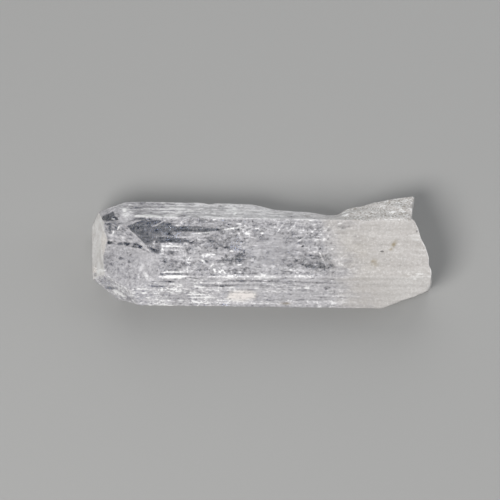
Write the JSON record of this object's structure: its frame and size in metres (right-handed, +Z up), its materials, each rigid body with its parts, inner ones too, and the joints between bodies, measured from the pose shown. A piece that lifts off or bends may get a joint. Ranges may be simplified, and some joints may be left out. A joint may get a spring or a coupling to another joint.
{
  "type": "danburite crystal",
  "caption": "Loose prismatic danburite crystal, lying down: a finely lined see-through prism with a stepped sloping tip and a milky broken end.",
  "frame": {"origin": "middle of the crystal's bounding box, on the surface that it rests on", "axes": "+X along the crystal from the tip to the broken end, +Y to the back, +Z up"},
  "size_m": [0.045, 0.0156, 0.0089],
  "materials": {
    "crystal": "clear to milky, glossy flat faces with fine lengthwise growth lines, frosted breaks"
  },
  "bodies": {
    "root": {"crystal": "crystal"}
  },
  "joints": []
}
